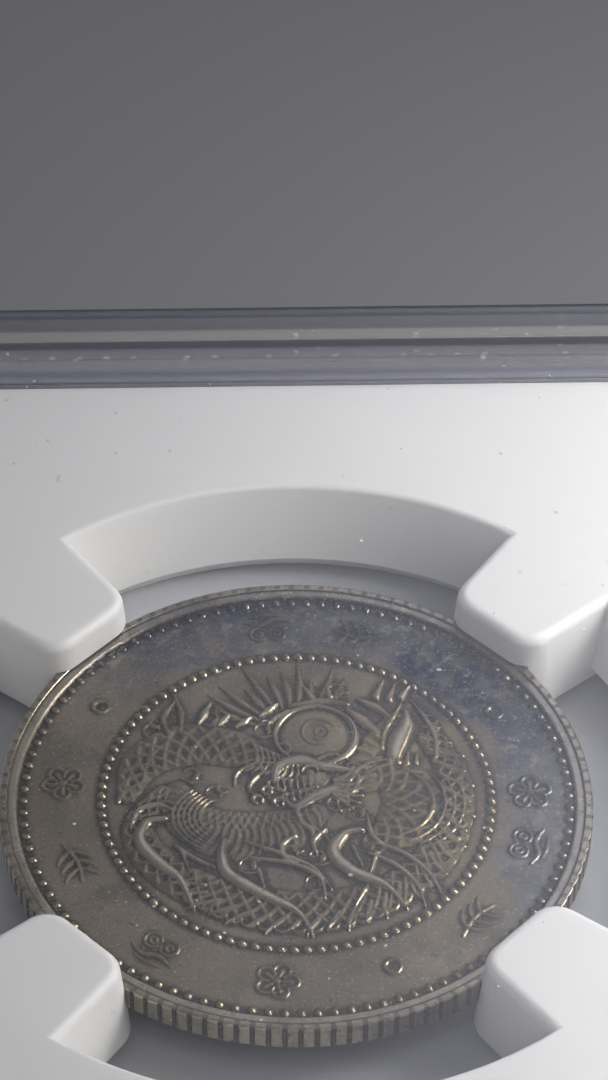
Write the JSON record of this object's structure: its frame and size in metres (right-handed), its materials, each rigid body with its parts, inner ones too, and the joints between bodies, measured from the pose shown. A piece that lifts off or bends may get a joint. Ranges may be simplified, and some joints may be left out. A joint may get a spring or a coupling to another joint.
{
  "type": "graded coin slab",
  "caption": "Sealed flat clear case of welded shells around a white insert whose prongs grip a reeded coin by its edge, with blank label and stacking rail.",
  "frame": {"origin": "centre of the rear face, on the surface that the slab lies on", "axes": "+X to the right and +Y towards the label end when the slab is read from the front, +Z out of the front window"},
  "size_m": [0.059, 0.086, 0.0078],
  "materials": {
    "clear_case": "clear polished plastic with fine handling scratches",
    "white_insert": "satin white moulding",
    "toned_silver": "struck silver with grey-brown and blue toning",
    "label_card": "printed card, no lettering",
    "foil": "metallised foil"
  },
  "bodies": {
    "case": {"front_shell": "clear_case", "rear_shell": "clear_case", "coin_insert": "white_insert", "front_label": "label_card", "rear_label": "label_card", "security_foil": "foil"},
    "coin_body": {"coin": "toned_silver"}
  },
  "joints": [
    {"name": "coin_turn", "type": "hinge", "parent": "case", "child": "coin_body", "pos_m": [0, -0.0155, 0.0035], "axis": [0, 0, 1], "continuous": true}
  ]
}
